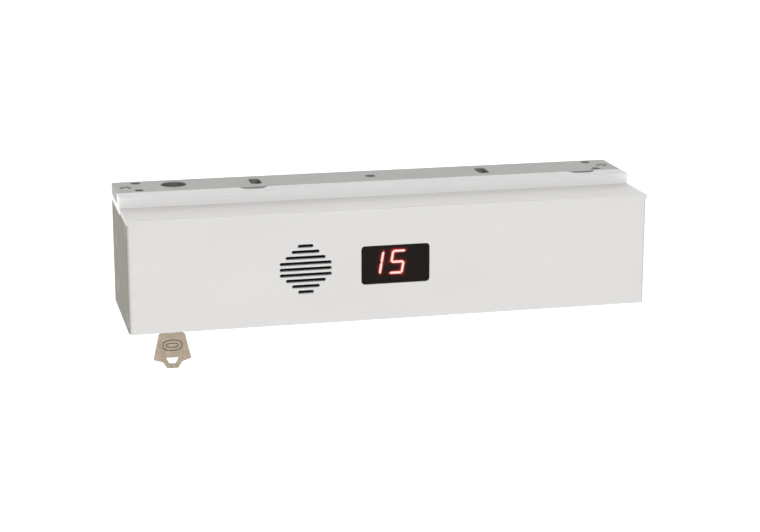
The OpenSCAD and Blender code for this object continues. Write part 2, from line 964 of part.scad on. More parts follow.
// The seven bars of a digit: top, two right, bottom, two left, middle
function bar_ends() =
    let (w = (digit_w - segment_w) / 2, h = (digit_h - segment_w) / 2)
    [
        [leaning(-w, h), leaning(w, h)],
        [leaning(w, h), leaning(w, 0)],
        [leaning(w, 0), leaning(w, -h)],
        [leaning(w, -h), leaning(-w, -h)],
        [leaning(-w, -h), leaning(-w, 0)],
        [leaning(-w, 0), leaning(-w, h)],
        [leaning(-w, 0), leaning(w, 0)]
    ];

// Bars of the two digits, given one list of bar numbers for each digit
module bars(numbers) {
    ends = bar_ends();
    for (digit = [0, 1])
        for (i = numbers[digit])
            face_plate(digits_x + (digit - 0.5) * digit_pitch, module_front_y - segment_t,
                feature_z, segment_t)
                bar(ends[i][0], ends[i][1]);
}

module lit_segments() {
    color("red")
        bars([[1, 2], [0, 5, 6, 2, 3]]);
}

module dark_segments() {
    color("#3a1512")
        bars([[0, 3, 4, 5, 6], [1, 4]]);
}

// Circuit board and what stands on it

module circuit_board() {
    color("#1f5a36")
        difference() {
            span([board_x0, board_front_y, board_z0], [board_x1, board_back_y, board_z1]);
            for (place = board_hole_places)
                rod_y(place[0], board_front_y - sliver, place[1], small_screw_d / 2,
                    board_t + 2 * sliver);
        }
}

module board_standoffs() {
    bore_l = 7;
    color("#c9b46a")
        for (place = board_hole_places)
            difference() {
                union() {
                    rod_y(place[0], board_back_y, place[1], standoff_d / 2, step_y - board_back_y);
                    rod_y(place[0], step_y - sliver, place[1], small_screw_d / 2,
                        standoff_stud_l - 0.2);
                }
                rod_y(place[0], board_back_y - sliver, place[1], small_screw_d / 2, bore_l);
            }
}

module board_screws() {
    color("silver")
        for (place = board_hole_places)
            translate([place[0], board_front_y, place[1]])
                rotate([-90, 0, 0])
                    pan_screw(small_screw_d, pan_d, pan_h, board_t + 5);
}

// Corner of one way of the terminal block
function terminal_way_x(way) = terminal_x0 + (way + 0.5) * terminal_pitch;

module terminal_block() {
    color("#2d6e47")
        difference() {
            translate([terminal_x0, board_front_y - terminal_size[1],
                terminal_z - terminal_size[2] / 2])
                cube(terminal_size);
            for (way = [0:terminal_ways - 1]) {
                rod_y(terminal_way_x(way), board_front_y - terminal_size[1] - sliver,
                    terminal_z + 1, 1.9, 3.5);
                span([terminal_way_x(way) - 1.5, board_front_y - 7,
                        terminal_z - terminal_size[2] / 2 - sliver],
                    [terminal_way_x(way) + 1.5, board_front_y - 3.5,
                        terminal_z - terminal_size[2] / 2 + 4]);
            }
        }
}

module terminal_screws() {
    color("silver")
        for (way = [0:terminal_ways - 1])
            translate([terminal_way_x(way), board_front_y - terminal_size[1] + 1,
                terminal_z + 1])
                rotate([-90, 0, 0])
                    difference() {
                        cylinder(r = 1.8, h = 2.4);
                        translate([-1.8, -0.3, -sliver])
                            cube([3.6, 0.6, 0.9]);
                    }
}

module relays() {
    color("#2a2b2e")
        for (x = relay_xs)
            translate([x - relay_size[0] / 2, board_back_y, relay_z - relay_size[2] / 2])
                cube(relay_size);
}

module capacitors() {
    color("#26304a")
        for (c = capacitor_places)
            rod_y(c[0], board_back_y, c[1], c[2], c[3]);
}

// Finned heat sink with the voltage regulator's tab clamped in its base
module heat_sink() {
    base_t = 3;
    fin_t = 1.4;
    fin_step = (sink_size[0] - fin_t) / (sink_fins - 1);
    color("#3b3d40") {
        span([sink_x - sink_size[0] / 2, board_back_y, sink_z - sink_size[2] / 2],
            [sink_x + sink_size[0] / 2, board_back_y + base_t, sink_z + sink_size[2] / 2]);
        for (i = [0:sink_fins - 1])
            translate([sink_x - sink_size[0] / 2 + i * fin_step, board_back_y + base_t - sliver,
                sink_z - sink_size[2] / 2])
                cube([fin_t, sink_size[1] - base_t, sink_size[2]]);
    }
}

module microcontroller() {
    leg_w = 0.5;
    leg_step = 1.1;
    color("#1c1c1f") {
        translate([chip_x - chip_size[0] / 2, board_front_y - 0.4 - chip_size[1],
            feature_z - chip_size[2] / 2])
            cube(chip_size);
        for (i = [0:chip_legs - 1])
            translate([chip_x - chip_size[0] / 2 - 1.2, board_front_y - 0.8,
                feature_z + (i - (chip_legs - 1) / 2) * leg_step - leg_w / 2])
                cube([chip_size[0] + 2.4, 0.8, leg_w]);
    }
}

function dip_way_x(way) = dip_x + (way - (dip_ways + 1) / 2) * dip_pitch;

module dip_switch() {
    color("#b3231d")
        difference() {
            translate([dip_x - dip_body[0] / 2, board_front_y - dip_body[1],
                dip_z - dip_body[2] / 2])
                cube(dip_body);
            for (way = [1:dip_ways])
                span([dip_way_x(way) - dip_slider / 2 - run_gap, board_front_y - dip_body[1] - sliver,
                        dip_z - dip_travel / 2 - dip_slider / 2 - 0.2],
                    [dip_way_x(way) + dip_slider / 2 + run_gap, board_front_y - 1.4,
                        dip_z + dip_travel / 2 + dip_slider / 2 + 0.2]);
        }
}

module dip_slider_piece(way) {
    color("white")
        span([dip_way_x(way) - dip_slider / 2, board_front_y - dip_body[1] - 0.8,
                dip_z - dip_travel / 2 - dip_slider / 2],
            [dip_way_x(way) + dip_slider / 2, board_front_y - 1.5,
                dip_z - dip_travel / 2 + dip_slider / 2]);
}

// Key cylinder

// Moves its children to the key's axis
module at_key(z = 0) {
    translate([key_axis[0], key_axis[1], z])
        children();
}

module key_cylinder() {
    color("#bfb9ab")
        at_key()
            difference() {
                union() {
                    translate([0, 0, face_z])
                        cylinder(d1 = flange_d - 1, d2 = flange_d, h = flange_t);
                    translate([0, 0, bottom_z - sliver])
                        cylinder(d = shell_d, h = shell_top_z - bottom_z + sliver);
                }
                translate([0, 0, face_z - sliver])
                    cylinder(d = plug_d + 2 * run_gap, h = height);
            }
}

module cylinder_nut() {
    color("silver")
        at_key(bay_floor_z)
            difference() {
                cylinder(d = nut_d, h = nut_t, $fn = 6);
                translate([0, 0, -sliver])
                    cylinder(d = shell_d, h = nut_t + 2 * sliver);
            }
}

function wafer_z(i) = wafer_first_z + i * wafer_pitch;

module key_plug() {
    color("#cdbf9a")
        at_key()
            difference() {
                translate([0, 0, face_z + 0.2])
                    cylinder(d = plug_d, h = plug_top_z - face_z - 0.2);
                span([-blade_w / 2 - 0.15, -key_t / 2 - 0.1, face_z],
                    [blade_w / 2 + 0.15, key_t / 2 + 0.1, keyway_top_z]);
                for (i = [0:wafer_count - 1])
                    span([-plug_d, -wafer_w / 2 - wafer_gap, wafer_z(i) - wafer_gap],
                        [plug_d, wafer_w / 2 + wafer_gap, wafer_z(i) + wafer_t + wafer_gap]);
                translate([0, 0, plug_top_z - 5])
                    cylinder(d = small_screw_d, h = 5 + sliver);
            }
}

// Thin plates in the plug that the key's cuts draw in
module plug_wafers() {
    color("#c7a550")
        for (i = [0:wafer_count - 1])
            at_key(wafer_z(i))
                linear_extrude(wafer_t)
                    difference() {
                        intersection() {
                            circle(d = plug_d - 0.2);
                            square([plug_d, wafer_w], center = true);
                        }
                        square([blade_w + 0.3, key_t + 0.2], center = true);
                    }
}

// Spiral cam: its edge moves out by cam_rise as the plug makes its quarter turn
module plug_cam() {
    steps = 18;
    nose = [for (i = [0:steps])
        let (turn = cam_nose * i / steps, r = cam_r + cam_rise * turn / cam_turn)
        [r * cos(turn), -r * sin(turn)]];
    heel = [[cam_hub_r * cos(120), -cam_hub_r * sin(120)],
        [-cam_hub_r, 0],
        [cam_hub_r * cos(120), cam_hub_r * sin(120)],
        [cam_r * cos(40) * 0.6, cam_r * sin(40) * 0.9],
        [cam_r * cos(12), cam_r * sin(12)]];
    color("silver")
        at_key(cam_z)
            difference() {
                union() {
                    linear_extrude(cam_t)
                        polygon(concat(nose, heel));
                    cylinder(r = cam_hub_r, h = cam_t);
                }
                translate([0, 0, -sliver])
                    cylinder(d = small_screw_d, h = cam_t + 2 * sliver);
            }
}

module cam_screw() {
    color("silver")
        at_key(cam_z + cam_t)
            mirror([0, 0, 1])
                pan_screw(small_screw_d, pan_d, cam_screw_head_t, cam_t + 4);
}

// The key: a bow with notched lower corners and a sloping slot, and a blade cut on both edges
module key() {
    half = blade_w / 2;
    tip = blade_tip_z - bottom_z;
    neck_top = -flange_t - 0.4;
    right = [
        [half - 2, tip],
        [half, tip - 2],
        [half, neck_top],
        [neck_half_w, neck_top],
        [neck_half_w, -neck_h],
        [bow_shoulder[0], -bow_shoulder[1]],
        [bow_wide[0], -bow_wide[1]],
        [bow_notch[0], -bow_notch[1]],
        [bow_foot[0], -bow_foot[1]]
    ];
    left = [for (i = [len(right) - 1:-1:0]) [-right[i][0], right[i][1]]];
    color("#b9ab98")
        translate([key_axis[0], key_axis[1] + key_t / 2, bottom_z])
            rotate([90, 0, 0])
                linear_extrude(key_t)
                    difference() {
                        polygon(concat(right, left));
                        polygon([[-bow_hole_top[0], -bow_hole_top[1]],
                            [bow_hole_top[0], -bow_hole_top[1]],
                            [bow_hole_bottom[0], -bow_hole_bottom[1]],
                            [-bow_hole_bottom[0], -bow_hole_bottom[1]]]);
                        blade_cuts([0.9, 0.4, 1.2, 0.6, 0.9]);
                    }
}

// The cuts in both edges of the blade, one pair for each wafer
module blade_cuts(cuts) {
    half = blade_w / 2;
    first = wafer_first_z - bottom_z + wafer_t / 2;
    for (i = [0:wafer_count - 1])
        for (side = [-1, 1])
            polygon([
                [side * (half + 1), first + i * wafer_pitch - 1.3],
                [side * (half - cuts[i]), first + i * wafer_pitch - 0.5],
                [side * (half - cuts[i]), first + i * wafer_pitch + 0.5],
                [side * (half + 1), first + i * wafer_pitch + 1.3]
            ]);
}

// Switch that the cam works

module switch_bracket() {
    color("#c4c6c8")
        difference() {
            union() {
                span([bracket_x0, switch_y0, bracket_top_z - bracket_t],
                    [bracket_x1, step_y, bracket_top_z]);
                span([bracket_x0, step_y - bracket_t, bracket_top_z - bracket_tab_h],
                    [bracket_x1, step_y, bracket_top_z]);
            }
            for (y = switch_screw_ys)
                rod_z(switch_screw_x, y, bracket_top_z - bracket_t - sliver, switch_screw_d / 2,
                    bracket_t + 2 * sliver);
            rod_y(bracket_screw_x, step_y - bracket_t - sliver, bracket_screw_z,
                small_screw_d / 2, bracket_t + 2 * sliver);
        }
}

module key_switch() {
    color("#20201f")
        difference() {
            translate([switch_x, switch_y0, switch_z0])
                cube(switch_size);
            for (y = switch_screw_ys)
                rod_z(switch_screw_x, y, switch_z0 - sliver, switch_screw_d / 2,
                    switch_size[2] + 2 * sliver);
            translate([switch_x - sliver, plunger_y, lever_z + lever_w / 2])
                rotate([0, 90, 0])
                    cylinder(d = plunger_d + 2 * run_gap, h = plunger_l + 1);
        }
    color("#c9b46a")
        for (y = tab_ys)
            translate([switch_x + switch_size[0] - sliver, switch_y0 + y - tab_size[1] / 2,
                switch_z0 + tab_z])
                cube(tab_size);
}

module switch_lever() {
    color("gainsboro")
        translate([lever_pivot[0], lever_pivot[1], lever_z]) {
            cylinder(d = lever_eye_d, h = lever_w);
            rotate(-lever_rest)
                translate([-lever_t / 2, -lever_l, 0])
                    cube([lever_t, lever_l, lever_w]);
        }
}

module switch_plunger() {
    color("#b3231d")
        translate([switch_x - plunger_out, plunger_y, lever_z + lever_w / 2])
            rotate([0, 90, 0])
                cylinder(d = plunger_d, h = plunger_l);
}

module switch_screws() {
    top = switch_z0 + switch_size[2];
    color("silver") {
        for (y = switch_screw_ys)
            translate([switch_screw_x, y, top])
                mirror([0, 0, 1])
                    pan_screw(switch_screw_d, 4, 1.4, switch_size[2] + bracket_t + 1);
        translate([bracket_screw_x, step_y - bracket_t, bracket_screw_z])
            rotate([-90, 0, 0])
                pan_screw(small_screw_d, pan_d, pan_h, bracket_t + wall_bite);
    }
}

// Wires that stay inside: coil to board, key switch to board, sounder to board
module internal_wires() {
    behind_board_y = step_y - 7.6;
    coil_end = board_x1 - 9;
    switch_end = board_x0 + 10;
    tab_x = switch_x + switch_size[0] + tab_size[0] + wire_d * bend_swell / 2;
    tab_mid_z = switch_z0 + tab_z + tab_size[2] / 2;
    color("#8c1d18")
        for (lane = [0, 1]) {
            z = coil_wire_z + lane * wire_step;
            wire([[potting_end_x, 0, z], [wire_hole_x, 0, z], [wire_hole_x, behind_board_y, z],
                [coil_end, behind_board_y, z], [coil_end, board_back_y, z]], wire_d);
        }
    color("#d8d8d4")
        for (lane = [0, 1]) {
            z = switch_wire_z - lane * wire_step;
            y = switch_y0 + tab_ys[2 * lane];
            wire([[tab_x, y, tab_mid_z], [tab_x + 2, y, z], [tab_x + 5, wall_wire_y, z],
                [switch_end, wall_wire_y, z], [switch_end, board_back_y, z]], wire_d);
        }
}

mounting_plate();
magnet_housing();
front_cover();
left_end_cap();
right_end_cap();
end_cap_screws();
left_end_block();
right_end_block();
body_bolts();
locating_dowels();
core_laminations();
coil_former();
coil_winding();
core_potting();
chamber_plates();
chamber_screws();
door_sensor();
cover_rail();
rail_screws();
cover_screws();
corner_blocks();
cover_studs();
stud_nuts();
dust_screen();
speaker_basket();
speaker_cone();
speaker_magnet();
speaker_clamp();
display_lens();
lens_frame();
display_module();
lit_segments();
dark_segments();
circuit_board();
board_standoffs();
board_screws();
terminal_block();
terminal_screws();
relays();
capacitors();
heat_sink();
microcontroller();
dip_switch();
key_cylinder();
cylinder_nut();
key_plug();
plug_wafers();
plug_cam();
cam_screw();
key();
switch_bracket();
key_switch();
switch_lever();
switch_plunger();
switch_screws();
internal_wires();
for (way = [1:dip_ways])
    dip_slider_piece(way);
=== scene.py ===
"""Delayed egress magnetic door lock: looks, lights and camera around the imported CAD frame.

Metres, in the CAD row frame: +X along the lock, -Y the room side, +Z up at the header.
"""

import json
import math

import bmesh
import bpy
from mathutils import Matrix, Vector


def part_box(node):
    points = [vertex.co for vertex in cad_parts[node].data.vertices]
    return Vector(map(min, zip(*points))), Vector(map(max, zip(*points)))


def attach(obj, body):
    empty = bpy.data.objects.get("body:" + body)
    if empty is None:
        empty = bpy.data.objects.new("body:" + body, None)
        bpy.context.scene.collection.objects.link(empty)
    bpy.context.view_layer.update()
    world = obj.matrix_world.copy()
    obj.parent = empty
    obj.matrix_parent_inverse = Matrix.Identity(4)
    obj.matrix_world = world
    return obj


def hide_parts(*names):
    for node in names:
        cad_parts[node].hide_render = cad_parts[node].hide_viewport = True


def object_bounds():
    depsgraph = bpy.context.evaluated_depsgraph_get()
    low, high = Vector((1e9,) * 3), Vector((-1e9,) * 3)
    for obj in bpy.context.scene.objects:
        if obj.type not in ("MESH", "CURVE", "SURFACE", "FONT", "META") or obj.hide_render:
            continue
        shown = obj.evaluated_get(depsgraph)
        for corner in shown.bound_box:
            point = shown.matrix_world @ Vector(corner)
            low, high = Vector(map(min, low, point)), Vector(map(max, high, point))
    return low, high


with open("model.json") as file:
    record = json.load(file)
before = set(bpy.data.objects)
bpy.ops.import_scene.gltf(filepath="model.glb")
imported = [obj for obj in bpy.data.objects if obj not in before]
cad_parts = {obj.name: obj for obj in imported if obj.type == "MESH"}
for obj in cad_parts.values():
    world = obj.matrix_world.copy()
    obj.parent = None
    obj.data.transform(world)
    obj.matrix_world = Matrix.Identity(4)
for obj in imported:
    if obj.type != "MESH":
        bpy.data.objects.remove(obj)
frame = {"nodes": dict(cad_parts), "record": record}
cad_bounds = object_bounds()
NODES = frame["nodes"]
MM = 0.001


# ---------------------------------------------------------------- materials

class Shader:
    """A small writer of node materials: each call adds one node and returns it."""

    def __init__(self, name):
        self.material = bpy.data.materials.new(name)
        self.material.use_nodes = True
        self.tree = self.material.node_tree
        self.bsdf = self.tree.nodes["Principled BSDF"]
        self.coordinates = self.tree.nodes.new("ShaderNodeTexCoord").outputs
        self.place = self.coordinates["Object"]
        self.rounded = None

    def set(self, **sockets):
        for name, value in sockets.items():
            self.bsdf.inputs[name.replace("_", " ")].default_value = value
        return self

    def link(self, source, target):
        self.tree.links.new(source, target)

    def scaled(self, scale):
        node = self.tree.nodes.new("ShaderNodeMapping")
        node.inputs["Scale"].default_value = scale
        self.link(self.place, node.inputs["Vector"])
        return node.outputs["Vector"]

    def noise(self, scale, detail=3.0, roughness=0.6):
        """Noise whose features are 1/scale metres long on each axis."""
        node = self.tree.nodes.new("ShaderNodeTexNoise")
        node.inputs["Scale"].default_value = 1.0
        node.inputs["Detail"].default_value = detail
        node.inputs["Roughness"].default_value = roughness
        self.link(self.scaled(scale), node.inputs["Vector"])
        return node.outputs["Fac"]

    def cells(self, scale, feature="F1"):
        node = self.tree.nodes.new("ShaderNodeTexVoronoi")
        node.feature = feature
        node.inputs["Scale"].default_value = 1.0
        self.link(self.scaled(scale), node.inputs["Vector"])
        return node.outputs["Distance"]

    def bands(self, axis, period):
        """Stripes across one axis, one for each period in metres."""
        node = self.tree.nodes.new("ShaderNodeTexWave")
        node.bands_direction = axis
        node.wave_profile = "SIN"
        node.inputs["Scale"].default_value = math.pi / 10 / period
        self.link(self.place, node.inputs["Vector"])
        return node.outputs["Fac"]

    def facing(self):
        """The way the surface faces on the object, as outputs X, Y and Z from -1 to 1."""
        node = self.tree.nodes.new("ShaderNodeSeparateXYZ")
        self.link(self.coordinates["Normal"], node.inputs["Vector"])
        return node.outputs

    def attribute(self, name):
        node = self.tree.nodes.new("ShaderNodeAttribute")
        node.attribute_name = name
        return node.outputs["Fac"]

    def remap(self, value, low, high, out_low, out_high):
        node = self.tree.nodes.new("ShaderNodeMapRange")
        for name, number in (("From Min", low), ("From Max", high),
                             ("To Min", out_low), ("To Max", out_high)):
            node.inputs[name].default_value = number
        self.link(value, node.inputs["Value"])
        return node.outputs["Result"]

    def math(self, operation, a, b):
        node = self.tree.nodes.new("ShaderNodeMath")
        node.operation = operation
        for socket, value in zip(node.inputs, (a, b)):
            if isinstance(value, (int, float)):
                socket.default_value = value
            else:
                self.link(value, socket)
        return node.outputs["Value"]

    def ramp(self, value, *stops):
        """A colour for each stop, (place, (r, g, b)), blended between them."""
        node = self.tree.nodes.new("ShaderNodeValToRGB")
        elements = node.color_ramp.elements
        while len(elements) < len(stops):
            elements.new(0.5)
        for element, (place, colour) in zip(elements, stops):
            element.position = place
            element.color = (*colour, 1.0)
        self.link(value, node.inputs["Fac"])
        return node.outputs["Color"]

    def mix(self, fac, a, b):
        node = self.tree.nodes.new("ShaderNodeMix")
        node.data_type = "RGBA"
        self.link(fac, node.inputs["Factor"])
        for socket, value in ((node.inputs["A"], a), (node.inputs["B"], b)):
            if isinstance(value, tuple):
                socket.default_value = (*value, 1.0)
            else:
                self.link(value, socket)
        return node.outputs["Result"]

    def edges(self, radius):
        """1 on an edge and 0 on a flat: how far a bevelled normal leans from the true one. The
        shaders brighten it, partly as wear and partly as a painted highlight.
        """
        bevel = self.tree.nodes.new("ShaderNodeBevel")
        bevel.samples = 4
        bevel.inputs["Radius"].default_value = radius
        self.rounded = bevel.outputs["Normal"]
        geometry = self.tree.nodes.new("ShaderNodeNewGeometry")
        dot = self.tree.nodes.new("ShaderNodeVectorMath")
        dot.operation = "DOT_PRODUCT"
        self.link(bevel.outputs["Normal"], dot.inputs[0])
        self.link(geometry.outputs["Normal"], dot.inputs[1])
        return self.remap(dot.outputs["Value"], 0.995, 0.8, 0.0, 1.0)

    def colour(self, source):
        self.link(source, self.bsdf.inputs["Base Color"])
        return self

    def rough(self, source):
        self.link(source, self.bsdf.inputs["Roughness"])
        return self

    def bump(self, height, distance):
        node = self.tree.nodes.new("ShaderNodeBump")
        node.inputs["Strength"].default_value = 1.0
        node.inputs["Distance"].default_value = distance
        self.link(height, node.inputs["Height"])
        if self.rounded is not None:
            self.link(self.rounded, node.inputs["Normal"])
        self.link(node.outputs["Normal"], self.bsdf.inputs["Normal"])
        return self


def tone(colour, factor):
    return tuple(min(1.0, c * factor) for c in colour)


def brushed_metal(name, colour, roughness, along="X", metallic=1.0, top_shade=1.0):
    """Metal brushed along one axis: hair fine lines, a slow drift of tone and bright edges, partly
    worn and partly a painted highlight.

    Faces that look up take the colour times the top factor, a painted shade that darkens them.
    """
    s = Shader(name).set(Metallic=metallic)
    fine, slow = 5200, 45
    scale = {"X": (slow, fine, fine), "Y": (fine, slow, fine), "Z": (fine, fine, slow)}[along]
    hair = s.noise(scale, detail=4, roughness=0.75)
    drift = s.noise((9, 24, 24), detail=2)
    lines = s.ramp(hair, (0.25, tone(colour, 0.94)), (0.75, tone(colour, 1.06)))
    toned = s.mix(s.remap(drift, 0.3, 0.7, 0.0, 0.35), lines, tone(colour, 0.94))
    # Painted shade: faces that look up are darkened by the top factor
    top_shaded = s.mix(s.remap(s.facing()["Z"], 0.5, 0.95, 0.0, 0.9), toned, tone(colour, top_shade))
    # Edges brightened: partly wear, partly a painted highlight
    s.colour(s.mix(s.edges(0.0006), top_shaded, tone(colour, 1.3)))
    s.rough(s.math("ADD", s.remap(hair, 0.2, 0.8, roughness - 0.06, roughness + 0.06),
                   s.remap(drift, 0.3, 0.7, -0.03, 0.03)))
    return s.bump(hair, 0.000012).material


def mill_metal(name, colour, roughness, metallic=1.0):
    """Metal as it left the mill: faint rolling lines, cloudy patches, stray scratches and brighter
    edges, partly worn and partly a painted highlight.
    """
    s = Shader(name).set(Metallic=metallic)
    rolling = s.noise((30, 1800, 1800), detail=3, roughness=0.7)
    cloud = s.noise((60, 90, 90), detail=4)
    stray = s.cells((35, 900, 900), feature="DISTANCE_TO_EDGE")
    base = s.ramp(cloud, (0.3, tone(colour, 0.88)), (0.7, tone(colour, 1.08)))
    lined = s.mix(s.remap(rolling, 0.35, 0.75, 0.0, 0.4), base, tone(colour, 1.15))
    scratched = s.mix(s.remap(stray, 0.0, 0.02, 0.5, 0.0), lined, tone(colour, 1.35))
    # Edges brightened: partly wear, partly a painted highlight
    s.colour(s.mix(s.edges(0.0005), scratched, tone(colour, 1.4)))
    s.rough(s.remap(cloud, 0.25, 0.75, roughness - 0.08, roughness + 0.1))
    return s.bump(s.math("ADD", rolling, s.math("MULTIPLY", cloud, 0.6)), 0.00002).material


def end_cap_metal(front, side):
    """The end cap: brushed like the cover where it faces the room, rougher on its side, and darker
    there as painted shade.
    """
    s = Shader("end_cap_metal")
    room = s.remap(s.facing()["Y"], -0.25, -0.9, 0.0, 1.0)
    hair = s.noise((45, 5200, 5200), detail=4, roughness=0.75)
    cloud = s.noise((60, 90, 90), detail=4)
    rolling = s.noise((1500, 1500, 30), detail=3, roughness=0.7)
    brushed = s.ramp(hair, (0.25, tone(front, 0.94)), (0.75, tone(front, 1.06)))
    patch = s.ramp(cloud, (0.3, tone(side, 0.9)), (0.7, tone(side, 1.08)))
    shaded_side = s.mix(s.remap(rolling, 0.35, 0.75, 0.0, 0.4), patch, tone(side, 1.12))
    # Painted shade: the side is coloured darker than the face towards the room
    s.colour(s.mix(room, shaded_side, brushed))
    s.link(s.remap(room, 0.0, 1.0, 0.3, 0.4), s.bsdf.inputs["Metallic"])
    s.rough(s.remap(room, 0.0, 1.0, 0.55, 0.5))
    return s.bump(s.math("ADD", s.math("MULTIPLY", hair, room), rolling), 0.000015).material


def plated_metal(name, colour, roughness, metallic=1.0):
    """Plated hardware: near even, with fine pitting, handling marks and brighter edges, partly worn
    and partly a painted highlight.
    """
    s = Shader(name).set(Metallic=metallic)
    pits = s.noise((2600, 2600, 2600), detail=3)
    handling = s.noise((160, 160, 160), detail=4, roughness=0.7)
    toned = s.ramp(handling, (0.3, tone(colour, 0.85)), (0.7, tone(colour, 1.08)))
    # Edges brightened: partly wear, partly a painted highlight
    s.colour(s.mix(s.edges(0.0003), toned, tone(colour, 1.25)))
    s.rough(s.remap(handling, 0.3, 0.7, roughness - 0.07, roughness + 0.1))
    return s.bump(pits, 0.00001).material


def moulded(name, colour, roughness):
    """Moulded plastic with a spark eroded texture and edges drawn towards a mid grey, partly rubbed
    and partly a painted highlight.
    """
    s = Shader(name).set(Specular_IOR_Level=0.4)
    texture = s.noise((1800, 1800, 1800), detail=3)
    drift = s.noise((70, 70, 70), detail=2)
    toned = s.ramp(drift, (0.3, tone(colour, 0.9)), (0.7, tone(colour, 1.1)))
    # Edges drawn towards a mid grey: partly rubbing, partly a painted highlight
    s.colour(s.mix(s.edges(0.0003), toned, tuple(c * 0.8 + 0.06 for c in colour)))
    s.rough(s.remap(texture, 0.3, 0.7, roughness - 0.05, roughness + 0.08))
    return s.bump(texture, 0.00002).material


def core_steel():
    """The ends of stacked laminations: a thin dark joint for each sheet, ground flat, plated."""
    s = Shader("core_steel").set(Metallic=1.0)
    sheets = s.bands("X", 0.0005)
    grind = s.noise((60, 2500, 1400), detail=3)
    cloud = s.noise((40, 60, 60), detail=3)
    base = s.ramp(cloud, (0.3, (0.30, 0.30, 0.31)), (0.7, (0.44, 0.44, 0.45)))
    s.colour(s.mix(s.remap(sheets, 0.0, 0.12, 0.55, 0.0), base, (0.06, 0.055, 0.05)))
    s.rough(s.remap(grind, 0.3, 0.7, 0.28, 0.45))
    return s.bump(s.math("ADD", sheets, s.math("MULTIPLY", grind, 0.4)), 0.00003).material


def wound_copper():
    """Enamelled wire laid in neat turns, with painted shade in the grooves between them."""
    s = Shader("wound_copper").set(Metallic=0.9, Coat_Weight=0.5)
    turns = s.bands("Y", 0.0006)
    cloud = s.noise((50, 900, 900), detail=3)
    base = s.ramp(cloud, (0.3, (0.42, 0.14, 0.045)), (0.7, (0.66, 0.26, 0.10)))
    # Painted shade in the grooves between turns
    s.colour(s.mix(s.remap(turns, 0.0, 0.4, 0.8, 0.0), base, (0.10, 0.03, 0.01)))
    s.rough(s.remap(cloud, 0.3, 0.7, 0.25, 0.4))
    return s.bump(turns, 0.00025).material


def circuit_green():
    """Solder mask over copper tracks: the tracks show as a paler, raised net."""
    s = Shader("board_green").set(Coat_Weight=0.3)
    tracks = s.cells((420, 420, 420), feature="DISTANCE_TO_EDGE")
    cloud = s.noise((90, 90, 90), detail=2)
    base = s.ramp(cloud, (0.3, (0.010, 0.085, 0.030)), (0.7, (0.016, 0.12, 0.045)))
    s.colour(s.mix(s.remap(tracks, 0.05, 0.09, 1.0, 0.0), base, (0.045, 0.24, 0.10)))
    s.rough(s.remap(cloud, 0.3, 0.7, 0.25, 0.38))
    return s.bump(s.remap(tracks, 0.05, 0.09, 1.0, 0.0), 0.00004).material


def poured_resin():
    """Black potting resin: a glossy, slightly swollen pour with dust on it."""
    s = Shader("potting_resin").set(Specular_IOR_Level=0.5)
    swell = s.noise((90, 90, 90), detail=2)
    dust = s.noise((2600, 2600, 2600), detail=2)
    s.colour(s.ramp(swell, (0.3, (0.008, 0.008, 0.009)), (0.7, (0.017, 0.016, 0.016))))
    s.rough(s.remap(dust, 0.35, 0.75, 0.16, 0.4))
    return s.bump(swell, 0.0004).material


def screen_cloth():
    """Black acoustic cloth: two crossed sets of threads."""
    s = Shader("screen_cloth").set(Specular_IOR_Level=0.2)
    weave = s.math("MULTIPLY", s.bands("X", 0.0004), s.bands("Z", 0.0004))
    s.colour(s.ramp(weave, (0.0, (0.002, 0.002, 0.002)), (0.7, (0.012, 0.012, 0.013))))
    s.rough(s.remap(weave, 0.0, 1.0, 0.95, 0.8))
    return s.bump(weave, 0.0001).material


def paper(name, colour):
    """Pressed paper: matt, with long fibres."""
    s = Shader(name).set(Specular_IOR_Level=0.25)
    fibres = s.noise((700, 900, 2400), detail=5, roughness=0.8)
    s.colour(s.ramp(fibres, (0.3, tone(colour, 0.75)), (0.7, tone(colour, 1.15))))
    s.rough(s.remap(fibres, 0.3, 0.7, 0.75, 0.95))
    return s.bump(fibres, 0.00006).material


def smoked_lens():
    """Polished smoked acrylic, dark enough to hide the unlit digits."""
    s = Shader("smoked_lens").set(Specular_IOR_Level=0.13, Alpha=0.86)
    haze = s.noise((120, 120, 120), detail=3)
    s.colour(s.ramp(haze, (0.3, (0.006, 0.003, 0.0025)), (0.7, (0.010, 0.005, 0.004))))
    s.rough(s.remap(haze, 0.3, 0.7, 0.07, 0.14))
    return s.material


def lit_bar():
    """A lit segment: its middle line is nearly white and its edges are pure red."""
    s = Shader("lit_red").set(Roughness=0.4, Emission_Strength=LIT_STRENGTH)
    hot = s.attribute("hot")
    grain = s.noise((1500, 1500, 1500), detail=2)
    glow = s.ramp(hot, (0.0, (1.0, 0.06, 0.03)), (0.3, (1.0, 0.42, 0.34)),
                  (0.8, (1.0, 0.86, 0.80)))
    s.link(glow, s.bsdf.inputs["Emission Color"])
    s.colour(s.ramp(grain, (0.3, (0.5, 0.02, 0.01)), (0.7, (0.62, 0.03, 0.02))))
    return s.material


def glowing_film():
    """The red filter film over the digits, with a painted glow: emission around each lit bar that
    fades with distance, standing for the light spreading in it.
    """
    s = Shader("filter_film").set(Emission_Strength=FILM_STRENGTH)
    glow = s.attribute("glow")
    grain = s.noise((1200, 1200, 1200), detail=2)
    spread = s.ramp(glow, (0.0, (0.0, 0.0, 0.0)), (0.2, (0.03, 0.001, 0.0005)),
                    (0.5, (0.22, 0.006, 0.003)), (0.9, (1.0, 0.03, 0.012)))
    s.link(spread, s.bsdf.inputs["Emission Color"])
    s.colour(s.ramp(grain, (0.3, (0.012, 0.003, 0.002)), (0.7, (0.02, 0.005, 0.004))))
    s.rough(s.remap(grain, 0.3, 0.7, 0.4, 0.55))
    return s.material


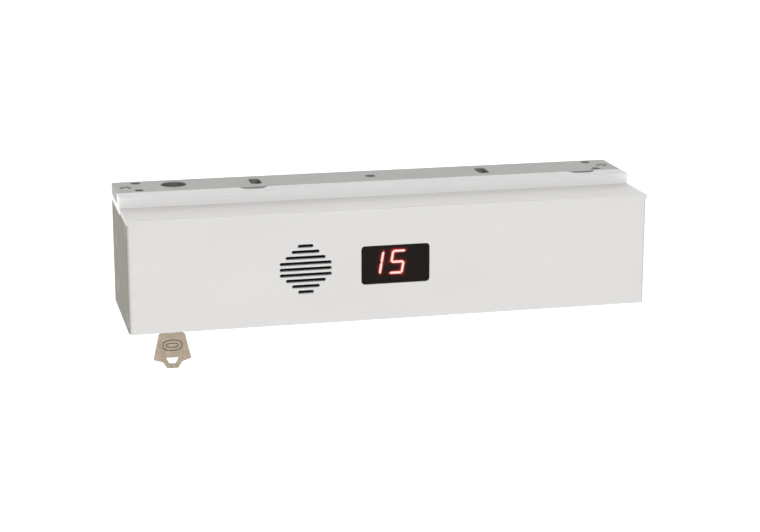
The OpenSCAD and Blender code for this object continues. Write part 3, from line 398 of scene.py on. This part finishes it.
def nickel_silver():
    """The key: stamped nickel silver, warm, hazed by handling, bright on its edges, partly from
    wear and partly a painted highlight.
    """
    s = Shader("key_metal").set(Metallic=1.0)
    handling = s.noise((260, 260, 260), detail=5, roughness=0.7)
    lines = s.noise((2600, 2600, 140), detail=3)
    base = s.ramp(handling, (0.28, (0.25, 0.20, 0.145)), (0.55, (0.38, 0.315, 0.24)),
                  (0.8, (0.50, 0.43, 0.345)))
    toned = s.mix(s.remap(lines, 0.35, 0.7, 0.0, 0.35), base, (0.62, 0.54, 0.45))
    # Edges brightened: partly wear, partly a painted highlight
    s.colour(s.mix(s.edges(0.0005), toned, (0.74, 0.67, 0.58)))
    s.rough(s.remap(handling, 0.3, 0.7, 0.26, 0.46))
    return s.bump(s.math("ADD", lines, handling), 0.00003).material


LIT_STRENGTH = 48.0
FILM_STRENGTH = 15.0
MATERIALS = {
    # Painted light: the housing is coloured lighter than the cover to lift the shade on its riser;
    # its up-facing faces take painted shade
    "housing_aluminium": brushed_metal("housing_aluminium", (0.93, 0.925, 0.92), 0.52, metallic=0.4,
                                       top_shade=0.72),
    "cover_aluminium": brushed_metal("cover_aluminium", (0.71, 0.70, 0.69), 0.5, metallic=0.4),
    "plate_metal": mill_metal("plate_metal", (0.33, 0.34, 0.32), 0.45, metallic=0.7),
    "cap_metal": mill_metal("cap_metal", (0.33, 0.325, 0.275), 0.5, metallic=0.6),
    "block_aluminium": mill_metal("block_aluminium", (0.62, 0.63, 0.64), 0.36),
    "zinc_steel": plated_metal("zinc_steel", (0.62, 0.63, 0.64), 0.3),
    "black_steel": plated_metal("black_steel", (0.045, 0.045, 0.048), 0.4, metallic=0.8),
    "core_steel": core_steel(),
    "former_paper": paper("former_paper", (0.62, 0.50, 0.28)),
    "copper_wire": wound_copper(),
    "potting_resin": poured_resin(),
    "brass_metal": plated_metal("brass_metal", (0.62, 0.45, 0.18), 0.3),
    "ivory_plastic": moulded("ivory_plastic", (0.68, 0.65, 0.52), 0.5),
    "black_plastic": moulded("black_plastic", (0.018, 0.018, 0.02), 0.48),
    "screen_cloth": screen_cloth(),
    "speaker_paper": paper("speaker_paper", (0.03, 0.03, 0.033)),
    "speaker_steel": plated_metal("speaker_steel", (0.10, 0.10, 0.11), 0.42, metallic=0.7),
    "smoked_lens": smoked_lens(),
    "lit_red": lit_bar(),
    "unlit_red": moulded("unlit_red", (0.035, 0.006, 0.005), 0.4),
    "board_green": circuit_green(),
    "terminal_green": moulded("terminal_green", (0.02, 0.20, 0.07), 0.45),
    "capacitor_blue": moulded("capacitor_blue", (0.012, 0.022, 0.09), 0.3),
    "red_plastic": moulded("red_plastic", (0.42, 0.02, 0.012), 0.38),
    "white_plastic": moulded("white_plastic", (0.75, 0.75, 0.72), 0.45),
    "cylinder_metal": brushed_metal("cylinder_metal", (0.66, 0.63, 0.57), 0.25, along="Z"),
    "key_metal": nickel_silver(),
    "red_wire": moulded("red_wire", (0.30, 0.012, 0.012), 0.4),
}
FILM = glowing_film()
# The stamping on the key, coloured darker than its bow
STAMPING = plated_metal("key_stamping", (0.17, 0.135, 0.095), 0.42)
# Nodes whose look differs from the rest of their slot
# The end caps' sides take a dark colour as painted shade
END_CAP = end_cap_metal((0.71, 0.70, 0.69), (0.20, 0.19, 0.148))
LOOKS = {
    "left_end_cap": END_CAP, "right_end_cap": END_CAP,
    # The end cap screws are coloured dark like the end caps' sides, as painted shade
    "end_cap_screws": plated_metal("shaded_screw", (0.30, 0.29, 0.24), 0.45, metallic=0.6),
}


# ---------------------------------------------------------------- CAD nodes: finish and edges

# How far each node's sharp edges are rounded; nodes that aren't listed get SMALL_ROUND
SMALL_ROUND = 0.12 * MM
ROUNDS = {
    "magnet_housing": 0.4 * MM, "mounting_plate": 0.35 * MM,
    "left_end_cap": 0.4 * MM, "right_end_cap": 0.4 * MM, "left_end_block": 0.3 * MM,
    "right_end_block": 0.3 * MM, "key": 0.28 * MM, "key_cylinder": 0.3 * MM, "key_plug": 0.15 * MM,
    "core_laminations": 0.2 * MM, "relays": 0.5 * MM, "terminal_block": 0.2 * MM,
    "display_lens": 0.25 * MM, "capacitors": 0.6 * MM, "cylinder_nut": 0.3 * MM,
}
# Left as packed: a bevel streaks the cover's face, and the others are soft or thin
NO_ROUND = {"front_cover", "internal_wires", "dust_screen", "coil_winding", "coil_former",
            "speaker_cone"}
SHARP = math.radians(32)


def smooth_curves(mesh):
    """Drops the stored corner normals, as the bevel makes its own."""
    stored = mesh.attributes.get("custom_normal")
    if stored is not None:
        mesh.attributes.remove(stored)
    for polygon in mesh.polygons:
        polygon.use_smooth = True


def soften(obj, width):
    """Rounds a CAD node's sharp edges with modifiers, so that its own vertices stay as packed."""
    weld = obj.modifiers.new("weld", "WELD")
    weld.merge_threshold = 1e-6
    bevel = obj.modifiers.new("edge_round", "BEVEL")
    bevel.width = width
    bevel.segments = 2
    bevel.limit_method = "ANGLE"
    bevel.angle_limit = SHARP
    bevel.harden_normals = True


def finish_cad_nodes():
    slots = {p["node"]: p["material_slot"] for p in frame["record"]["subparts"]}
    for name, obj in NODES.items():
        obj.data.materials.clear()
        obj.data.materials.append(LOOKS.get(name, MATERIALS[slots[name]]))
        if name not in NO_ROUND:
            smooth_curves(obj.data)
            soften(obj, ROUNDS.get(name, SMALL_ROUND))


finish_cad_nodes()


# ---------------------------------------------------------------- mesh helpers

def new_object(name, verts, faces, material, smooth=False):
    mesh = bpy.data.meshes.new(name)
    mesh.from_pydata(verts, [], faces)
    mesh.validate()
    mesh.update()
    for polygon in mesh.polygons:
        polygon.use_smooth = smooth
    mesh.materials.append(material)
    obj = bpy.data.objects.new(name, mesh)
    bpy.context.scene.collection.objects.link(obj)
    return obj


def float_attribute(obj, name, values):
    attribute = obj.data.attributes.new(name, "FLOAT", "POINT")
    attribute.data.foreach_set("value", values)


def fix_normals(obj):
    bm = bmesh.new()
    bm.from_mesh(obj.data)
    bmesh.ops.recalc_face_normals(bm, faces=bm.faces)
    bm.to_mesh(obj.data)
    bm.free()


def loose_parts(obj):
    """The separate solids of a mesh, each as a list of points."""
    bm = bmesh.new()
    bm.from_mesh(obj.data)
    bmesh.ops.remove_doubles(bm, verts=bm.verts, dist=1e-7)
    parts, seen = [], set()
    for start in bm.verts:
        if start in seen:
            continue
        stack, part = [start], []
        seen.add(start)
        while stack:
            vert = stack.pop()
            part.append(vert.co.copy())
            for edge in vert.link_edges:
                other = edge.other_vert(vert)
                if other not in seen:
                    seen.add(other)
                    stack.append(other)
        parts.append(part)
    bm.free()
    return parts


# ---------------------------------------------------------------- display

BAR_WIDTH = 1.6 * MM
# Half the width of a bar's blunt end
BAR_END = 0.5 * MM
BAR_STEPS = 8
# How far the light reaches past each end of a bar
END_GLOW = 0.22 * MM
# Across a bar: place, rise and heat, each as a fraction
BAR_PROFILE = ((-1.0, 0.0, 0.0), (-0.86, 0.8, 0.25), (-0.45, 1.0, 0.8), (0.0, 1.0, 1.0),
               (0.45, 1.0, 0.8), (0.86, 0.8, 0.25), (1.0, 0.0, 0.0))
FILM_THICK = 0.03 * MM
FILM_INSET = 0.4 * MM
FILM_CELL = 0.3 * MM
# How far the glow takes to fade by e squared
FILM_REACH = 1.5 * MM


def bar_axes(node):
    """The two ends of each bar's middle line, as points in X and Z."""
    axes = []
    for part in loose_parts(NODES[node]):
        flat = [Vector((p.x, p.z)) for p in part]
        ends = max(((a, b) for a in flat for b in flat), key=lambda ab: (ab[0] - ab[1]).length)
        axes.append(ends)
    return axes


def make_lit_bars():
    """The lit bars as domed light guides whose middle line is hottest."""
    low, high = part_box("lit_segments")
    verts, faces, hot = [], [], []
    row = len(BAR_PROFILE)
    thick = high.y - low.y
    for a, b in bar_axes("lit_segments"):
        along = (b - a).normalized()
        a, b = a - along * END_GLOW, b + along * END_GLOW
        side = Vector((-along.y, along.x))
        length = (b - a).length
        first = len(verts)
        for i in range(BAR_STEPS + 1):
            t = i / BAR_STEPS
            taper = min(1.0, (BAR_END + min(t, 1 - t) * length) / (BAR_WIDTH / 2))
            middle = a + along * length * t
            for across, rise, heat in BAR_PROFILE:
                p = middle + side * across * taper * BAR_WIDTH / 2
                verts.append((p.x, high.y - thick * rise, p.y))
                hot.append(heat * min(1.0, 0.5 + taper))
        for i in range(BAR_STEPS):
            for j in range(row - 1):
                at = first + i * row + j
                faces.append((at, at + 1, at + row + 1, at + row))
            faces.append((first + i * row + row - 1, first + i * row,
                          first + (i + 1) * row, first + (i + 1) * row + row - 1))
        faces.append(tuple(first + j for j in range(row)))
        faces.append(tuple(first + BAR_STEPS * row + j for j in reversed(range(row))))
    bars = new_object("lit_bars", verts, faces, MATERIALS["lit_red"], smooth=True)
    float_attribute(bars, "hot", hot)
    fix_normals(bars)
    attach(bars, "root")
    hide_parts("lit_segments")


def distance_to(p, ends):
    """From a point to a bar's middle line."""
    a, b = ends
    t = max(0.0, min(1.0, (p - a).dot(b - a) / (b - a).length_squared))
    return (p - (a + (b - a) * t)).length


def make_filter_film():
    """A thin film on the module's face, carrying the painted glow that spreads from the lit bars.
    """
    low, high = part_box("display_module")
    back_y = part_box("lit_segments")[1].y
    face_y = back_y - FILM_THICK
    axes = bar_axes("lit_segments")
    across, up = high.x - low.x - 2 * FILM_INSET, high.z - low.z - 2 * FILM_INSET
    columns, rows = int(across / FILM_CELL), int(up / FILM_CELL)
    verts, faces, glow = [], [], []
    for y in (face_y, back_y):
        for j in range(rows + 1):
            for i in range(columns + 1):
                x = low.x + FILM_INSET + across * i / columns
                z = low.z + FILM_INSET + up * j / rows
                verts.append((x, y, z))
                gaps = [max(0.0, distance_to(Vector((x, z)), ends) - BAR_WIDTH / 2)
                        for ends in axes]
                spread = sum(math.exp(-gap / FILM_REACH) ** 2 for gap in gaps)
                glow.append(min(1.0, spread) if y == face_y else 0.0)
    width = columns + 1
    layer = width * (rows + 1)
    for j in range(rows):
        for i in range(columns):
            at = j * width + i
            faces.append((at, at + 1, at + width + 1, at + width))
            faces.append((layer + at, layer + at + width, layer + at + width + 1, layer + at + 1))
    rim = ([i for i in range(width)] + [j * width + columns for j in range(1, rows + 1)]
           + [rows * width + i for i in range(columns - 1, -1, -1)]
           + [j * width for j in range(rows - 1, 0, -1)])
    for a, b in zip(rim, rim[1:] + rim[:1]):
        faces.append((a, b, layer + b, layer + a))
    film = new_object("filter_film", verts, faces, FILM)
    float_attribute(film, "glow", glow)
    fix_normals(film)
    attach(film, "root")


make_lit_bars()
make_filter_film()


# ---------------------------------------------------------------- key

# The stamping's centre above the lowest point of the bow
STAMP_UP = 13.4 * MM
STAMP_RISE = 0.2 * MM
STAMP_LINE = 0.5 * MM
# Half widths and half heights
STAMP_OVALS = ((5.6 * MM, 3.2 * MM), (3.6 * MM, 1.4 * MM))
# 2 would be an ellipse; more is closer to a box
STAMP_POWER = 2.6


def relief(name, outer, inner, y, rise):
    """A raised stamping on the bow: a closed ring between an outer and an inner outline."""
    count = len(outer)
    verts = ([(x, y + rise, z) for x, z in outer] + [(x, y + rise, z) for x, z in inner]
             + [(x, y, z) for x, z in outer] + [(x, y, z) for x, z in inner])
    faces = []
    for i in range(count):
        j = (i + 1) % count
        faces += [(i, j, count + j, count + i),
                  (2 * count + i, 3 * count + i, 3 * count + j, 2 * count + j),
                  (i, 2 * count + i, 2 * count + j, j),
                  (count + i, count + j, 3 * count + j, 3 * count + i)]
    ring = new_object(name, verts, faces, STAMPING)
    fix_normals(ring)
    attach(ring, "loose_key")


def loop(centre, half_w, half_h, power, steps=40):
    """A rounded outline: an ellipse at power 2, closer to a box above it."""
    points = []
    for i in range(steps):
        angle = 2 * math.pi * i / steps
        c, s = math.cos(angle), math.sin(angle)
        points.append((centre[0] + half_w * math.copysign(abs(c) ** (2 / power), c),
                       centre[1] + half_h * math.copysign(abs(s) ** (2 / power), s)))
    return points


def make_key_relief():
    """Two plain ovals, one in the other, raised on both sides of the bow."""
    low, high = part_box("key")
    place = ((low.x + high.x) / 2, low.z + STAMP_UP)
    for side, y, rise in (("front", low.y, -STAMP_RISE), ("back", high.y, STAMP_RISE)):
        for i, (half_w, half_h) in enumerate(STAMP_OVALS):
            outer = loop(place, half_w, half_h, STAMP_POWER)
            inner = loop(place, half_w - STAMP_LINE, half_h - STAMP_LINE, STAMP_POWER)
            relief(f"bow_oval_{side}_{i}", outer, inner, y, rise)


make_key_relief()


# ---------------------------------------------------------------- stage, lights and camera

FLOOR_DROP = 0.17
FLOOR_HALF_WIDTH = 5.0
FLOOR_FRONT, FLOOR_BACK = -4.0, 2.2
SWEEP_RADIUS = 1.0
SWEEP_STEPS = 12
SWEEP_HEIGHT = 4.0
PAPER_GLOW = 0.42
PAPER_WHITE = 0.9


def make_floor():
    """A pale sweep: flat under the lock, then curving up behind it. From below it can't be seen."""
    s = Shader("stage_paper")
    s.set(Roughness=0.95, Specular_IOR_Level=0.1, Emission_Strength=PAPER_GLOW)
    grain = s.noise((300, 300, 300), detail=2)
    s.colour(s.ramp(grain, (0.3, (PAPER_WHITE,) * 3), (0.7, (PAPER_WHITE + 0.02,) * 3)))
    s.bsdf.inputs["Emission Color"].default_value = (1.0, 1.0, 1.0, 1.0)
    from_below = s.tree.nodes.new("ShaderNodeNewGeometry").outputs["Backfacing"]
    s.link(s.math("SUBTRACT", 1.0, from_below), s.bsdf.inputs["Alpha"])
    z = cad_bounds[0][2] - FLOOR_DROP
    outline = [(FLOOR_FRONT, z), (FLOOR_BACK, z)]
    for i in range(1, SWEEP_STEPS + 1):
        angle = math.pi / 2 * i / SWEEP_STEPS
        outline.append((FLOOR_BACK + SWEEP_RADIUS * math.sin(angle),
                        z + SWEEP_RADIUS * (1 - math.cos(angle))))
    outline.append((FLOOR_BACK + SWEEP_RADIUS, z + SWEEP_HEIGHT))
    verts = [(x, y, h) for y, h in outline for x in (-FLOOR_HALF_WIDTH, FLOOR_HALF_WIDTH)]
    faces = [(2 * i, 2 * i + 1, 2 * i + 3, 2 * i + 2) for i in range(len(outline) - 1)]
    new_object("stage_floor", verts, faces, s.material, smooth=True)


def make_world():
    """White studio surroundings, dimmer to the sides and overhead than in front and behind."""
    world = bpy.data.worlds.new("studio")
    bpy.context.scene.world = world
    world.use_nodes = True
    nodes, links = world.node_tree.nodes, world.node_tree.links
    place = nodes.new("ShaderNodeTexCoord").outputs["Generated"]
    split = nodes.new("ShaderNodeSeparateXYZ")
    links.new(place, split.inputs["Vector"])
    total = None
    for axis, level in (("X", WORLD_SIDES), ("Y", WORLD_FRONT), ("Z", WORLD_TOP)):
        square = nodes.new("ShaderNodeMath")
        square.operation = "MULTIPLY"
        links.new(split.outputs[axis], square.inputs[0])
        links.new(split.outputs[axis], square.inputs[1])
        part = nodes.new("ShaderNodeMath")
        part.operation = "MULTIPLY_ADD"
        links.new(square.outputs["Value"], part.inputs[0])
        part.inputs[1].default_value = level
        part.inputs[2].default_value = 0.0
        if total is not None:
            links.new(total, part.inputs[2])
        total = part.outputs["Value"]
    background = nodes["Background"]
    links.new(total, background.inputs["Strength"])
    background.inputs["Color"].default_value = (1.0, 1.0, 1.0, 1.0)


def area_light(name, place, target, size, power):
    data = bpy.data.lights.new(name, "AREA")
    data.shape = "RECTANGLE"
    data.size, data.size_y = size
    data.energy = power
    light = bpy.data.objects.new(name, data)
    light.location = place
    light.rotation_euler = (Vector(target) - Vector(place)).to_track_quat("-Z", "Y").to_euler()
    bpy.context.scene.collection.objects.link(light)


WORLD_SIDES, WORLD_FRONT, WORLD_TOP = 0.4, 0.95, 0.8
LIGHT_TARGET = (0.0, 0.0, -0.03)
VIEW_YAW = math.radians(13.19)
VIEW_PITCH = math.radians(14.24)
VIEW_ROLL = math.radians(-0.04)
VIEW_PLACE = (-0.2528, -1.1046, 0.2330)
LENS_MM = 93.5
SENSOR_MM = 36.0


def make_camera():
    data = bpy.data.cameras.new("photo_view")
    data.lens = LENS_MM
    data.sensor_width = SENSOR_MM
    data.clip_start = 0.01
    camera = bpy.data.objects.new("photo_view", data)
    forward = Vector((math.sin(VIEW_YAW) * math.cos(VIEW_PITCH),
                      math.cos(VIEW_YAW) * math.cos(VIEW_PITCH), -math.sin(VIEW_PITCH)))
    right = Vector((math.cos(VIEW_YAW), -math.sin(VIEW_YAW), 0.0))
    up = right.cross(forward)
    rolled_right = math.cos(VIEW_ROLL) * right + math.sin(VIEW_ROLL) * up
    rolled_up = -math.sin(VIEW_ROLL) * right + math.cos(VIEW_ROLL) * up
    turn = Matrix((rolled_right, rolled_up, -forward)).transposed()
    camera.matrix_world = Matrix.Translation(VIEW_PLACE) @ turn.to_4x4()
    bpy.context.scene.collection.objects.link(camera)
    bpy.context.scene.camera = camera


make_floor()
make_world()
area_light("softbox_front", (-0.5, -1.5, 1.1), LIGHT_TARGET, (1.2, 0.8), 3.0)
area_light("softbox_right", (1.3, -0.8, 0.5), LIGHT_TARGET, (0.8, 0.8), 1.0)
make_camera()
bpy.context.scene.view_settings.view_transform = "Standard"
